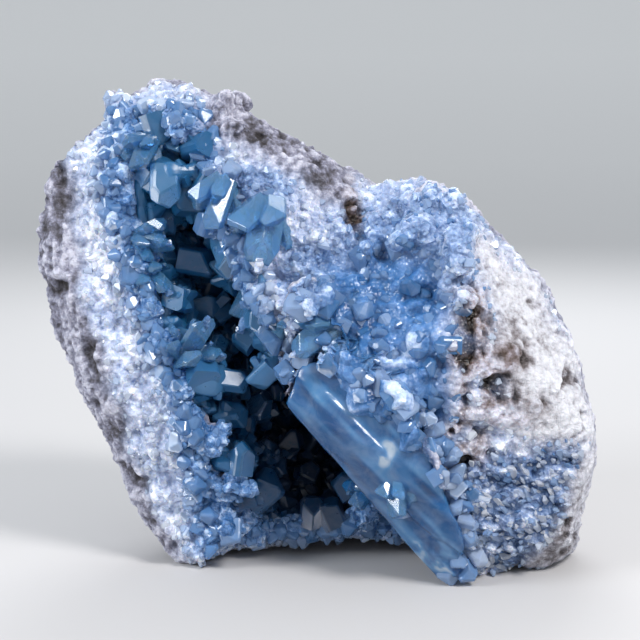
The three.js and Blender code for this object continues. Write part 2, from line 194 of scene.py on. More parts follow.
# How crystals grow: at least `apart` from each other, `least` to `least` + `more` high, with more
# small ones for a higher `skew`, `stout` thick, the share `sunk` in the rock, leaning by `tilt`.
# The last two groups are in the hollow.
Habit = namedtuple("Habit", "apart least more skew stout sunk tilt")
HABITS = {
    "teeth": Habit(3.4, 4, 4, 1, 1, 0.6, 0.5),
    "sugar": Habit(2.3, 1.8, 2, 2, 1, 0.65, 0.8),
    "blocks": Habit(3.6, 4, 4.5, 1.5, 1.1, 0.8, 0.8),
    "splinters": Habit(2.1, 3, 3.5, 1.5, 0.45, 0.5, 0.35),
    "seam": Habit(1.6, 3.5, 4, 1, 1, 0.8, 0.9),
    "deep": Habit(7, 7, 6, 1.5, 1, 0.5, 0.45),
    "between": Habit(3.6, 3, 3, 1.5, 1, 0.5, 0.45),
}
MOST_TRIED = 30000  # how many places are tried for a group at most
ROOT = 0.3  # how much of a crystal's foot is left below the place where it grows

# Colours of each kind of surface, from the bottom of its relief to the top, darker low down as painted
# shade in its pits, cracks and hollows and lighter on its crests as painted light: (height, red, green,
# blue)
ROCK_COLORS = {
    "crust": [
        (0, 0.18, 0.25, 0.44), (0.35, 0.36, 0.43, 0.62),
        (0.65, 0.54, 0.6, 0.77), (0.95, 0.84, 0.86, 0.94),
    ],
    # inner: the crust's own deeper blue by the hollow, painted darker still towards the hollow as painted
    # shade
    "inner": [
        (0, 0.004, 0.03, 0.1), (0.4, 0.035, 0.12, 0.3), (0.7, 0.12, 0.25, 0.5), (1, 0.45, 0.58, 0.8),
    ],
    "clear": [
        (0, 0.01, 0.05, 0.16), (0.35, 0.035, 0.125, 0.31), (0.65, 0.12, 0.25, 0.5), (1, 0.6, 0.7, 0.88),
    ],
    "broken": [
        (0, 0.02, 0.05, 0.14), (0.4, 0.1, 0.17, 0.33), (0.75, 0.3, 0.39, 0.6), (1, 0.8, 0.84, 0.94),
    ],
    "rind": [
        (0, 0.035, 0.03, 0.033), (0.3, 0.11, 0.105, 0.13), (0.55, 0.25, 0.25, 0.33), (0.9, 0.6, 0.6, 0.7),
    ],
    # bright: the chalky white rind, raised further as painted light
    "bright": [
        (0, 0.06, 0.05, 0.05), (0.3, 0.28, 0.26, 0.28), (0.6, 0.6, 0.6, 0.65), (1, 0.82, 0.83, 0.88),
    ],
    "rust": [
        (0, 0.012, 0.008, 0.006), (0.3, 0.08, 0.052, 0.04),
        (0.6, 0.22, 0.18, 0.19), (1, 0.55, 0.54, 0.63),
    ],
}

# The rock's fine grain, in lumps per metre, and its height in metres
ROCK_GRAIN = 420
ROCK_FIBRES = 480
ROCK_CELLS = 750
ROCK_BUMP = 0.0008

# The crystals. `colors` are from the rim of the hollow inwards, darker deep in the hollow as painted
# shade, `milkiness` is how white the clouds are, `kept` is the colour that light keeps on its way
# through, and `density` how fast it loses the rest
Looks = namedtuple("Looks", "milkiness transmission roughness kept density shine colors")
CRYSTAL_LOOKS = {
    "clear_crystal": Looks(0.5, 0.72, (0.08, 0.24), (0.06, 0.48, 0.9), 90, 0.3, [
        (0, 0.16, 0.46, 0.8), (0.5, 0.03, 0.24, 0.55), (1, 0.003, 0.07, 0.22),
    ]),
    "azure_crystal": Looks(0.4, 0.5, (0.1, 0.3), (0.06, 0.48, 0.88), 90, 0.25, [
        (0, 0.7, 0.84, 0.96), (0.3, 0.12, 0.36, 0.7), (0.6, 0.012, 0.14, 0.4), (1, 0.003, 0.06, 0.22),
    ]),
    "pale_crystal": Looks(0.4, 0.5, (0.06, 0.28), (0.25, 0.55, 0.9), 80, 0.3, [
        (0, 0.84, 0.88, 0.96), (0.3, 0.5, 0.64, 0.88), (0.65, 0.14, 0.32, 0.64), (1, 0.04, 0.18, 0.44),
    ]),
    "hollow_crystal": Looks(0.15, 0.6, (0.2, 0.42), (0.04, 0.45, 0.85), 170, 0.1, [
        (0, 0.16, 0.42, 0.78), (0.35, 0.02, 0.2, 0.46), (0.65, 0.003, 0.1, 0.28), (1, 0.001, 0.03, 0.1),
    ]),
}
CELESTITE_IOR = 1.62
MILK_COLOR = (0.75, 0.86, 0.98, 1)

# The floor, in metres: (radius, height) of each ring, and the distances over which it grows lighter:
# painted shade near the geode, where the lamps light it most, and painted light far off, where they reach
# it less
FLOOR_RINGS = [(0.7, 0), (1.4, 0.01), (1.9, 0.07), (2.4, 0.25), (2.8, 0.55), (3.1, 1.0)]
FLOOR_SIDES = 96
FLOOR_COLORS = [(0, 0.52, 0.51, 0.51), (0.4, 0.7, 0.69, 0.69), (1, 0.93, 0.92, 0.91)]
FLOOR_COLOR_REACH = (0.2, 2.4)
FLOOR_ROUGHNESS = 0.8

# The soft lamps: (name, place in metres, watts, width in metres, colour), and what they look at
LAMPS = [
    ("key", (0.4, -0.45, 0.65), 6.2, 0.22, (1, 0.98, 0.97)),
    ("side", (-0.65, -0.35, 0.4), 4.3, 0.3, (0.94, 0.97, 1)),
    ("back", (0.1, 0.6, 0.6), 3.5, 0.5, (0.95, 0.97, 1)),
]
LIT_PLACE = Vector((0, 0, 0.08))
SURROUNDING_LIGHT = (0.88, 0.94, 1, 1)
SURROUNDING_STRENGTH = 0.6

# The camera looks at a height over the source's origin, a little from above
CAMERA_ELEVATION = 8
CAMERA_DISTANCE = 0.486
CAMERA_TARGET_Z = 80
CAMERA_LENS = 85
CAMERA_SENSOR = 36

SEED = 7

# Noise

# Large primes and bit masks that scatter the lattice points
LATTICE_PRIMES = (73856093, 19349663, 83492791)
SEED_PRIME = 2654435761
MIXING_PRIMES = (2246822519, 3266489917)
LOW_32_BITS = 0xFFFFFFFF
LOW_24_BITS = 0xFFFFFF


def hashed(i, j, k, seed):
    """A number from 0 to 1 for each lattice point, the same each time."""
    a, b, c = (steps.astype(np.int64) * prime for steps, prime in zip((i, j, k), LATTICE_PRIMES))
    mixed = (a ^ b ^ c ^ (seed * SEED_PRIME)) & LOW_32_BITS
    for prime, shift in zip(MIXING_PRIMES, (15, 13)):
        mixed = ((mixed ^ (mixed >> shift)) * prime) & LOW_32_BITS
    return ((mixed ^ (mixed >> 16)) & LOW_24_BITS) / float(LOW_24_BITS + 1)


def lumps(points, size, seed):
    """Smooth noise from -1 to 1, with lumps about `size` across."""
    at = points / size
    cell = np.floor(at).astype(np.int64)
    share = at - cell
    share = share * share * (3 - 2 * share)
    total = np.zeros(len(points))
    for step in np.ndindex(2, 2, 2):
        weight = np.ones(len(points))
        for axis in range(3):
            weight *= share[:, axis] if step[axis] else 1 - share[:, axis]
        total += weight * hashed(*(cell + step).T, seed)
    return 2 * total - 1


def rough(points, size, seed):
    """Lumps on lumps, from about -1 to 1."""
    total = np.zeros(len(points))
    for octave in range(3):
        total += lumps(points, size / 2**octave, seed + octave) / 2**octave
    return total / 1.6


def wandering(points, reach, size, seed):
    """The points moved about, so that areas laid on them get wandering edges."""
    return points + reach * np.stack([rough(points, size, seed + 3 * axis) for axis in range(3)], 1)


def facets(points, size, seed):
    """Blocky crystals grown into each other: how far each point lies in the one that holds it, 0 to 1."""
    cell = np.floor(points / size).astype(np.int64)
    deepest = np.zeros(len(points))
    for step in np.ndindex(3, 3, 3):
        near = cell + step - 1
        chance = [hashed(*near.T, seed + n) for n in range(6)]
        away = points - (near + np.stack(chance[:3], 1)) * size
        spin, lean = math.pi * chance[3], math.pi * chance[4]
        across = np.cos(spin) * away[:, 0] + np.sin(spin) * away[:, 1]
        other = np.cos(spin) * away[:, 1] - np.sin(spin) * away[:, 0]
        along = np.cos(lean) * other + np.sin(lean) * away[:, 2]
        up = np.cos(lean) * away[:, 2] - np.sin(lean) * other
        reach = np.max([np.abs(across), 1.2 * np.abs(along), 0.8 * np.abs(up)], 0) / size
        deepest = np.maximum(deepest, 0.5 + 0.35 * chance[5] - reach)
    return np.clip(deepest / 0.6, 0, 1)


def soft_step(value, low, high):
    """0 below `low` and 1 above `high`, with a smooth slope between them."""
    share = np.clip((value - low) / (high - low), 0, 1)
    return share * share * (3 - 2 * share)


# Where things are


def within(points, corners, softness=3):
    """1 inside an area of the front and 0 outside it, with a soft edge."""
    x, z = points[:, 0], points[:, 2]
    inside = np.zeros(len(points), bool)
    nearest = np.full(len(points), 1e9)
    for (ax, az), (bx, bz) in zip(corners, corners[1:] + corners[:1]):
        ex, ez = bx - ax, bz - az
        along = np.clip(((x - ax) * ex + (z - az) * ez) / (ex * ex + ez * ez), 0, 1)
        nearest = np.minimum(nearest, np.hypot(x - ax - along * ex, z - az - along * ez))
        crosses = (az > z) != (bz > z)
        inside ^= crosses & (x < ex * (z - az) / (ez or 1e-9) + ax)
    signed = np.where(inside, nearest, -nearest)
    return soft_step(signed, -softness, softness)


def patches(points, places):
    """1 in the middle of each patch of the front, fading to 0 round it."""
    most = np.zeros(len(points))
    for x, z, half_width, half_height in places:
        reach = np.hypot((points[:, 0] - x) / half_width, (points[:, 2] - z) / half_height)
        most = np.maximum(most, 1 - soft_step(reach, 0.5, 1.5))
    return most


def hollow_margin(points):
    """How far outside the hollow's wall a point is, in millimetres, below 0 inside it."""
    own = points - SOURCE_ORIGIN
    levels = HOLLOW_LEVELS[:, 0]
    x, width, depth = (np.interp(own[:, 2], levels, HOLLOW_LEVELS[:, n]) for n in (1, 2, 3))
    back = own[:, 1] - HOLLOW_Y
    aside = width * (np.hypot((own[:, 0] - x - HOLLOW_SLANT * back) / width, back / depth) - 1)
    return np.max([aside, own[:, 2] - levels[-1], levels[0] - own[:, 2]], 0)


def beside_hollow(points):
    """1 at the rim of the hollow and 0 a centimetre away from it."""
    return 1 - soft_step(hollow_margin(points), 1, 11)


def above_block_edge(points):
    """How far above the block's long lower edge a point is, seen from the front."""
    (ax, az), (bx, bz) = BLOCK_EDGE
    length = math.hypot(bx - ax, bz - az)
    return ((points[..., 0] - ax) * (az - bz) + (points[..., 2] - az) * (bx - ax)) / length


def block_clearness(points):
    """1 along the block's long lower edge, falling to 0 where it goes over into the milky lobe."""
    return 1 - soft_step(above_block_edge(points), *BLOCK_CLEAR_WIDTH)


def zones(points, outward):
    """How much of each kind of surface a point has, from 0 to 1."""
    moved = wandering(points, 4, 10, 61)
    x, z = moved[:, 0], moved[:, 2]
    facing = soft_step(-outward[:, 1], 0.05, 0.4) * soft_step(-points[:, 1], -16, 4)
    left = soft_step(np.interp(z, RIND_EDGE_Z, RIND_EDGE_X) - x, -4, 4)
    start_x, start_z = ARCH_RIND_START
    top = soft_step(z - start_z + ARCH_RIND_FALL * (x - start_x), -2, 9)
    top *= soft_step(x, -48, -30) * (1 - soft_step(x, 8, 18))
    shoulder = soft_step(x - SHOULDER_LEAN * (SHOULDER_TOP_Z - z), 50, 58) * soft_step(z, 55, 66)
    bright = within(moved, BRIGHT_RIND, 6)
    granular = within(moved, GRANULAR_RIND, 4)
    rind = 1 - (1 - np.max([left, top, shoulder, bright, granular], 0)) * facing
    return {
        "rind": np.clip(rind, 0, 1),
        "bright": np.maximum(bright, 0.75 * granular) * facing,
        "rust": patches(moved, RUST_PITS) * facing * soft_step(rough(points, 6, 94), -0.7, 0),
        "clear": within(moved, LOBE_MASS, 8) * facing,
        "broken": within(moved, BROKEN_GROUND) * facing,
        # By the hollow's rim the crust is its own deeper blue, painted darker towards the hollow as
        # painted shade; the blue patches are its own colour
        "inner": np.maximum(beside_hollow(points), 0.7 * patches(moved, BLUE_PATCHES) * facing),
        "dark": patches(moved, DARK_PATCHES_AND_PAINTED_SHADE) * facing * soft_step(rough(points, 5, 91), -0.5, 0.3),
        "frosty": patches(moved, FROSTY_PATCHES) * facing,
    }


def relief(points, zone):
    """How far the surface stands out in millimetres, and a shading value from 0 to 1 that follows how
    high each point is in its relief: low in pits, cracks and hollows as painted shade, high on crests as
    painted light, with the rock's own patches and grain.
    """
    large, middle, small = (facets(points, size, seed) for size, seed in ((11, 21), (6, 28), (3.2, 35)))
    shards = facets(points @ SHARD_TURN, 5, 42)
    swell, grain = rough(points, 19, 5), rough(points, 3, 11)
    fibres = 1 - np.abs(lumps(points * (1, 1, 0.4), 2.8, 31))
    crumbs = facets(points, 2.3, 39)
    coarse = rough(points, 9, 33)
    pits = soft_step(lumps(points, 9, 47) + 0.5 * lumps(points, 3.5, 48), 0.3, 0.9)
    holes = soft_step(lumps(points, 5, 51) + 0.6 * lumps(points, 2.4, 52), -0.05, 0.55)
    cracks = soft_step(1 - 12 * np.abs(rough(points, 14, 57)), 0, 0.8)
    cracks *= soft_step(lumps(points, 9, 58), 0, 0.5)
    # For each kind: its share, its height in millimetres, and its shading value, which is lower where its
    # relief is lower, as painted shade, and higher on its crests, as painted light
    kinds = [
        (
            1,
            3.5 * zone["inner"] * large + 2.6 * middle + 1.5 * small - 2.6,
            0.2 + 0.3 * middle + 0.55 * small,
        ),
        (zone["clear"], 5 * large + 2 * middle - 4.2, 0.35 * large + 0.4 * middle + 0.1 * grain),
        (zone["broken"], 3 * shards + small - 2.2, 0.05 + 0.7 * shards + 0.3 * small),
        (
            zone["rind"],
            1.4 * coarse + 1.3 * fibres + 1.1 * crumbs - 2.2 * pits - 1.6,
            0.2 + 0.2 * coarse + 0.35 * fibres + 0.35 * crumbs - 0.4 * pits,
        ),
        (
            zone["bright"],
            1.2 * coarse + 0.6 * grain + 0.7 * crumbs - 1.2 * cracks - 0.6,
            0.72 + 0.15 * coarse + 0.15 * grain + 0.1 * crumbs - 0.6 * cracks,
        ),
        (zone["rust"], 1.2 * small - 3.4 * holes, 0.7 + 0.3 * small - 0.95 * holes),
    ]
    height, tone_and_relief_shading = 0.0, 0.0
    for share, own_height, own_tone_and_relief_shading in kinds:
        height = height + share * (own_height - height)
        tone_and_relief_shading = tone_and_relief_shading + share * (own_tone_and_relief_shading - tone_and_relief_shading)
    # Dark patches darken the colour: the rind's own, plus a painted ledge shadow and painted shade at the
    # lobe's foot
    darkness = (0.1 + 0.2 * zone["rind"] + 0.2 * zone["bright"]) * zone["dark"]
    # The broad swells are lighter where they bulge out: painted light
    tone_and_relief_shading += 0.4 * zone["frosty"] - darkness + 0.1 * swell
    tone_and_relief_shading += 0.12 * zone["rind"] * rough(points, 34, 97)
    height += 1.2 * swell * (1 - 0.5 * zone["clear"])
    height = np.where(points[:, 1] > THIN_WALL_Y, np.maximum(height, -LEAST_RELIEF), height)
    return height, np.clip(tone_and_relief_shading, 0, 1)


# Surfaces made on grids


def solid_arrays(node):
    """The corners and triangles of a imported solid. Corners in one place are joined."""
    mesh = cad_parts[node].data
    mesh.calc_loop_triangles()
    points = np.empty(len(mesh.vertices) * 3, np.float32)
    mesh.vertices.foreach_get("co", points)
    triangles = np.empty(len(mesh.loop_triangles) * 3, np.int32)
    mesh.loop_triangles.foreach_get("vertices", triangles)
    points = points.reshape(-1, 3) / MM
    _, first, index = np.unique(np.round(points, 3), axis=0, return_index=True, return_inverse=True)
    return points[first], index.reshape(-1)[triangles.reshape(-1, 3)]


def distance_grid(node, voxel):
    """The solid's signed distance in millimetres on a grid, and the grid's lowest cell."""
    points, triangles = solid_arrays(node)
    grid = openvdb.FloatGrid.createLevelSetFromPolygons(
        points.astype(np.float32),
        triangles=triangles.astype(np.uint32),
        transform=openvdb.createLinearTransform(voxelSize=voxel),
        halfWidth=BAND,
    )
    low, high = grid.evalActiveVoxelBoundingBox()
    distance = np.zeros([high[n] - low[n] + 1 for n in range(3)], np.float32)
    grid.copyToArray(distance, ijk=tuple(low))
    return distance, np.array(low)


def blurred(grid, passes):
    """Softens a grid: each pass mixes every cell with its neighbours."""
    for _ in range(passes):
        for axis in range(3):
            grid = np.moveaxis(grid, axis, 0)
            soft = grid.copy()
            soft[1:-1] = (grid[:-2] + 2 * grid[1:-1] + grid[2:]) / 4
            grid = np.moveaxis(soft, 0, axis)
    return grid


def surface_of(distance, low, voxel):
    """The points and four-sided faces of the surface where the distance is 0."""
    grid = openvdb.FloatGrid(float(distance.max()))
    grid.transform = openvdb.createLinearTransform(voxelSize=voxel)
    grid.copyFromArray(np.ascontiguousarray(distance, np.float32), ijk=tuple(int(n) for n in low))
    points, _, quads = grid.convertToPolygons(isovalue=0.0, adaptivity=0.0)
    return points.astype(float), quads.astype(np.int64)


def outward_at(distance, low, voxel, points):
    """The direction out of the surface at each point."""
    cell = np.round(points / voxel).astype(int) - low
    cell = np.clip(cell, 1, np.array(distance.shape) - 2)
    slope = []
    for axis in range(3):
        step = np.zeros(3, int)
        step[axis] = 1
        slope.append(distance[tuple((cell + step).T)] - distance[tuple((cell - step).T)])
    slope = np.stack(slope, 1).astype(float)
    return slope / np.maximum(np.linalg.norm(slope, axis=1, keepdims=True), 1e-6)


def convex_planes(corners):
    """The faces of the body stretched round the corners: outward directions and distances."""
    body = bmesh.new()
    for corner in corners:
        body.verts.new(corner)
    bmesh.ops.convex_hull(body, input=body.verts)
    middle = np.mean(corners, 0)
    planes = []
    for face in body.faces:
        normal, corner = np.array(face.normal), np.array(face.verts[0].co)
        if normal @ (corner - middle) < 0:
            normal = -normal
        planes.append((*normal, normal @ corner))
    body.free()
    return np.array(planes)


def depth_in(points, corners):
    """The distance to the nearest face of the body round the corners, below 0 inside it."""
    planes = convex_planes(corners)
    return (points @ planes[:, :3].T - planes[:, 3]).max(-1)


def cells_round(corners, voxel, margin):
    """The lowest and highest cell of the grid round a body."""
    first = np.floor(np.min(corners, 0) / voxel).astype(int) - margin
    return first, np.ceil(np.max(corners, 0) / voxel).astype(int) + margin


def cell_points(first, last, voxel):
    """The places of the grid's cells from one corner to another."""
    ranges = [np.arange(a, b) for a, b in zip(first, last)]
    return np.stack(np.meshgrid(*ranges, indexing="ij"), -1) * voxel


def carve(distance, low, corners, core, beside=lambda points: 0):
    """Takes the rock out of a clear body: as far in as `core` says, and further round it by `beside`."""
    first, last = cells_round(corners, ROCK_VOXEL, 6)
    first, last = np.maximum(first, low), np.minimum(last, low + distance.shape)
    part = tuple(slice(a, b) for a, b in zip(first - low, last - low))
    points = cell_points(first, last, ROCK_VOXEL)
    depth = depth_in(points, corners)
    near = depth < CARVED_ROUND + beside(points)
    carved = np.maximum(distance[part], np.minimum(depth + core(points), 2))
    distance[part] = np.where(near, carved, distance[part])


def thicken_back(distance, low):
    """Thickens the wall behind the hollow's crust, where it would wear through."""
    for layer in range(distance.shape[2]):
        last = low + distance.shape
        last[2] = low[2] + layer + 1
        cells = cell_points(low + (0, 0, layer), last, ROCK_VOXEL).reshape(-1, 3)
        behind = 1 - soft_step(hollow_margin(cells), *BACKED_MARGIN)
        behind *= soft_step(cells[:, 1], THIN_WALL_Y, THIN_WALL_Y + BACKED_DEPTH)
        distance[:, :, layer] -= (BACKING * behind).reshape(distance.shape[:2])


# Meshes


def inside_box(points):
    """Keeps points in the box of the solids, so that nothing stands out past it."""
    low, high = (np.array(corner) / MM for corner in cad_bounds)
    return np.clip(points, low + BOX_MARGIN, high - BOX_MARGIN)


def linked(name, data):
    """An object of the scene that holds the data."""
    made = bpy.data.objects.new(name, data)
    bpy.context.scene.collection.objects.link(made)
    return made


def mesh_object(name, points, faces, material, attributes):
    """A piece of the scene. Its attributes are numbers, one for each point."""
    mesh = bpy.data.meshes.new(name)
    corners = faces.shape[1]
    mesh.vertices.add(len(points))
    mesh.vertices.foreach_set("co", (points * MM).astype(np.float32).ravel())
    mesh.loops.add(faces.size)
    mesh.loops.foreach_set("vertex_index", faces.astype(np.int32).ravel())
    mesh.polygons.add(len(faces))
    mesh.polygons.foreach_set("loop_start", np.arange(0, faces.size, corners, dtype=np.int32))
    mesh.update(calc_edges=True)
    for key, values in attributes.items():
        layer = mesh.attributes.new(key, "FLOAT", "POINT")
        layer.data.foreach_set("value", values.astype(np.float32))
    mesh.materials.append(material)
    return linked(name, mesh)


def smooth_but_for_edges(piece, angle):
    """Shades a piece smoothly, but for edges sharper than an angle in degrees."""
    piece.data.polygons.foreach_set("use_smooth", np.ones(len(piece.data.polygons), bool))
    piece.data.set_sharp_from_angle(angle=math.radians(angle))


def thin_out(piece, triangles, coarse):
    """Takes triangles away until a piece has about so many, most of them where `coarse` is 1."""
    group = piece.vertex_groups.new(name="coarse")
    steps = np.round(coarse * 4).astype(int)
    for step in range(5):
        group.add(np.flatnonzero(steps == step).tolist(), 0.1 + 0.9 * step / 4, "REPLACE")
    thinner = piece.modifiers.new("thinner", "DECIMATE")
    thinner.ratio = triangles / (2 * len(piece.data.polygons))
    thinner.vertex_group = group.name
    thinner.vertex_group_factor = 1
    thinner.use_collapse_triangulate = True
    thinned = bpy.data.meshes.new_from_object(piece.evaluated_get(bpy.context.evaluated_depsgraph_get()))
    piece.modifiers.remove(thinner)
    piece.vertex_groups.clear()
    piece.data = thinned
    points = np.empty(len(thinned.vertices) * 3, np.float32)
    thinned.vertices.foreach_get("co", points)
    points = inside_box(points.reshape(-1, 3) / MM) * MM
    thinned.vertices.foreach_set("co", points.astype(np.float32).ravel())


def together(parts):
    """Joins meshes, each given as its points, its faces and one value for each point."""
    count, faces = 0, []
    for points, own_faces, _ in parts:
        faces.append(own_faces + count)
        count += len(points)
    points, _, values = zip(*parts)
    return np.concatenate(points), np.concatenate(faces), np.concatenate(values)


# Crystals


def crystal_form(rng, rounding=0.0):
    """A crystal one unit high and about one wide: a flat prism under a chisel-like top."""
    body = bmesh.new()
    bmesh.ops.create_cube(body, size=4)
    side = rng.uniform(34, 44)
    half = 0.5
    planes = []
    for sign_x in (-1, 1):
        for sign_y in (-1, 1):
            turn = math.radians(side + rng.uniform(-3, 3))
            normal = Vector((sign_x * math.sin(turn), sign_y * math.cos(turn), 0))
            planes.append((normal, half * math.sin(turn) * rng.uniform(0.95, 1.2)))
    for sign in (1, -1):
        planes.append((Vector((sign, 0, 0)), half * rng.uniform(0.75, 0.95)))
    for sign in (-1, 1):
        turn = math.radians(rng.uniform(36, 52))
        normal = Vector((0, sign * math.sin(turn), math.cos(turn)))
        planes.append((normal, math.cos(turn) * rng.uniform(0.9, 1)))
        turn = math.radians(rng.uniform(48, 62))
        normal = Vector((sign * math.sin(turn), 0, math.cos(turn)))
        planes.append((normal, math.cos(turn) + half * math.sin(turn) * rng.uniform(0.25, 0.6)))
    planes.append((Vector((rng.uniform(-0.1, 0.1), rng.uniform(-0.1, 0.1), 1)), rng.uniform(0.84, 0.95)))
    planes.append((Vector((0, 0, -1)), half))
    for normal, distance in planes:
        cut_off(body, normal.normalized(), distance)
    bmesh.ops.remove_doubles(body, verts=body.verts, dist=0.02)
    if rounding:
        edges = [edge for edge in body.edges if max(v.co.z for v in edge.verts) > -0.4]
        bmesh.ops.bevel(body, geom=edges, offset=rounding, segments=1, affect="EDGES")
    bmesh.ops.triangulate(body, faces=body.faces)
    bmesh.ops.recalc_face_normals(body, faces=body.faces)
    body.verts.index_update()
    points = np.array([v.co[:] for v in body.verts])
    points[:, 2] *= np.where(points[:, 2] < 0, ROOT, 1)
    faces = np.array([[v.index for v in face.verts] for face in body.faces])
    body.free()
    return points, faces


def cut_off(body, normal, distance):
    """Cuts off what lies past a plane, and closes the cut."""
    cut = bmesh.ops.bisect_plane(
        body,
        geom=body.verts[:] + body.edges[:] + body.faces[:],
        plane_co=normal * distance,
        plane_no=normal,
        clear_outer=True,
    )
    edges = [piece for piece in cut["geom_cut"] if isinstance(piece, bmesh.types.BMEdge)]
    if edges:
        bmesh.ops.contextual_create(body, geom=edges)


def apart(points, spacing, rng):
    """Picks points that are at least `spacing` apart. Returns their indices."""
    kept, table = [], {}
    for index in rng.permutation(len(points))[:MOST_TRIED]:
        point = points[index]
        i, j, k = np.floor(point / spacing).astype(int)
        near = [
            other
            for a in (i - 1, i, i + 1)
            for b in (j - 1, j, j + 1)
            for c in (k - 1, k, k + 1)
            for other in table.get((a, b, c), ())
        ]
        if all(((points[other] - point) ** 2).sum() > spacing**2 for other in near):
            kept.append(index)
            table.setdefault((i, j, k), []).append(index)
    return np.array(kept, int)


def feet_on(points, area, kind, rng):
    """Indices of the points of an area where a group of crystals grows."""
    return np.flatnonzero(area)[apart(points[area], HABITS[kind].apart, rng)]


def turned(axis, spin):
    """A rotation that takes +Z to the axis after a spin round +Z."""
    axis = axis / np.linalg.norm(axis)
    across = np.cross((0.0, 0.0, 1.0) if abs(axis[2]) < 0.9 else (1.0, 0.0, 0.0), axis)
    across /= np.linalg.norm(across)
    other = np.cross(axis, across)
    c, s = math.cos(spin), math.sin(spin)
    return np.stack([c * across + s * other, c * other - s * across, axis], 1)


def random_heights(kind, count, rng, share=1):
    """Heights of a group's crystals. `share` says how much of the added height each may have."""
    habit = HABITS[kind]
    return habit.least + habit.more * share * rng.random(count) ** habit.skew


def planted(kind, forms, points, outward, heights, values, rng):
    """Crystals grown on points, joined in one mesh. Each has one value for all its points."""
    habit = HABITS[kind]
    crystals = []
    for point, normal, height, value in zip(points, outward, heights, values):
        form_points, form_faces = forms[rng.integers(len(forms))]
        across, deep = habit.stout * rng.uniform(0.8, 1.25, 2)
        lean = normal + habit.tilt * rng.uniform(-1, 1, 3)
        turn = turned(lean, rng.uniform(0, 2 * math.pi))
        size = (height * across, height * deep, height)
        placed = (form_points * size) @ turn.T + point - habit.sunk * height * normal
        crystals.append((placed, form_faces, np.full(len(placed), value)))
    return together(crystals)


# Materials


def new_material(name):
    """A material with one shader, whose sockets are set later."""
    material = bpy.data.materials.new(name)
    material.use_nodes = True
    nodes = material.node_tree.nodes
    nodes.clear()
    output = nodes.new("ShaderNodeOutputMaterial")
    shader = nodes.new("ShaderNodeBsdfPrincipled")
    material.node_tree.links.new(shader.outputs["BSDF"], output.inputs["Surface"])
    return material, material.node_tree, shader, output


def texture(tree, kind, output, **values):
    """A texture in the object's own space. Its scale is in lumps per metre."""
    place = tree.nodes.new("ShaderNodeTexCoord")
    node = tree.nodes.new(kind)
    for name, value in values.items():
        node.inputs[name].default_value = value
    tree.links.new(place.outputs["Object"], node.inputs["Vector"])
    return node.outputs[output]


def noise(tree, scale, detail=4, roughness=0.6, distortion=0.0):
    """Cloudy noise, from 0 to 1."""
    values = dict(Scale=scale, Detail=detail, Roughness=roughness, Distortion=distortion)
    return texture(tree, "ShaderNodeTexNoise", "Fac", **values)


def ramp(tree, value, stops):
    """Turns a value into a colour. The stops are (value, red, green, blue)."""
    node = tree.nodes.new("ShaderNodeValToRGB")
    elements = node.color_ramp.elements
    while len(elements) < len(stops):
        elements.new(0.5)
    for element, (position, *color) in zip(elements, stops):
        element.position = position
        element.color = (*color, 1)
    tree.links.new(value, node.inputs["Fac"])
    return node.outputs["Color"]


def feed(tree, socket, value):
    """Gives a socket another node's output, or else a plain value."""
    if isinstance(value, bpy.types.NodeSocket):
        tree.links.new(value, socket)
    else:
        socket.default_value = value


def mixed(tree, share, a, b):
    """Mixes two colours: all `a` where the share is 0, and all `b` where it is 1."""
    node = tree.nodes.new("ShaderNodeMix")
    node.data_type = "RGBA"
    first, second = (socket for socket in node.inputs if socket.type == "RGBA")
    for socket, value in ((node.inputs["Factor"], share), (first, a), (second, b)):
        feed(tree, socket, value)
    return next(socket for socket in node.outputs if socket.type == "RGBA")


def reckoned(tree, how, a, b):
    """The sum, difference or product of two values."""
    node = tree.nodes.new("ShaderNodeMath")
    node.operation = how
    for socket, value in zip(node.inputs, (a, b)):
        feed(tree, socket, value)
    return node.outputs["Value"]


def attribute(tree, name):
    """One of the numbers that the mesh has at each point."""
    node = tree.nodes.new("ShaderNodeAttribute")
    node.attribute_name = name
    return node.outputs["Fac"]


def spread_of(tree, value, low, high):
    """Spreads a value from 0 to 1 over another range."""
    node = tree.nodes.new("ShaderNodeMapRange")
    node.inputs["To Min"].default_value = low
    node.inputs["To Max"].default_value = high
    tree.links.new(value, node.inputs["Value"])
    return node.outputs["Result"]


def bumped(tree, shader, height, strength, distance):
    """Gives a shader small bumps, `distance` metres high."""
    node = tree.nodes.new("ShaderNodeBump")
    node.inputs["Strength"].default_value = strength
    node.inputs["Distance"].default_value = distance
    tree.links.new(height, node.inputs["Height"])
    tree.links.new(node.outputs["Normal"], shader.inputs["Normal"])


